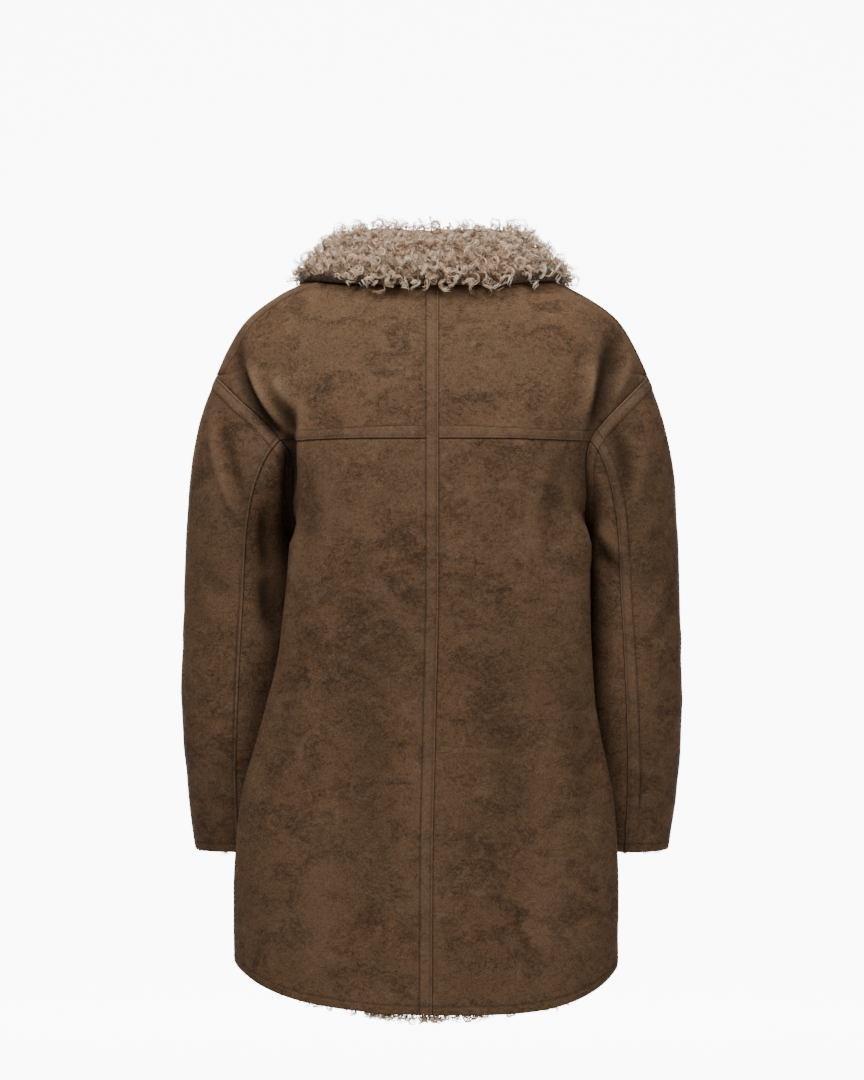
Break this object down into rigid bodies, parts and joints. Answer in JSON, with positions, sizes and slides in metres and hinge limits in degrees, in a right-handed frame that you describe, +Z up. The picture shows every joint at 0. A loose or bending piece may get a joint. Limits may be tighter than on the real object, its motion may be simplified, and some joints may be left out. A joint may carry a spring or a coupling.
{
  "type": "shearling coat",
  "caption": "Thigh-length shearling coat in its worn form: suede outside, curly pile inside, turned-down pile collar, back yoke, centre back seam, two-piece set-in sleeves.",
  "frame": {"origin": "middle of the nape, where the centre back meets the collar, on the wearer's shoulder line; the wearer's shoulders hold the coat there", "axes": "+Z up, -Y the way the wearer faces, +X the wearer's left"},
  "size_m": [0.5496, 0.3066, 0.8427],
  "materials": {
    "suede": "matte brown suede with darker cloudy patches",
    "pile": "curly beige-grey sheepskin pile"
  },
  "bodies": {
    "root": {"yoke_left": "suede", "yoke_right": "suede", "back_left": "suede", "back_right": "suede", "front_left": "suede", "front_right": "suede", "upper_sleeve_left": "suede", "upper_sleeve_right": "suede", "under_sleeve_left": "suede", "under_sleeve_right": "suede", "collar": "pile"}
  },
  "joints": []
}
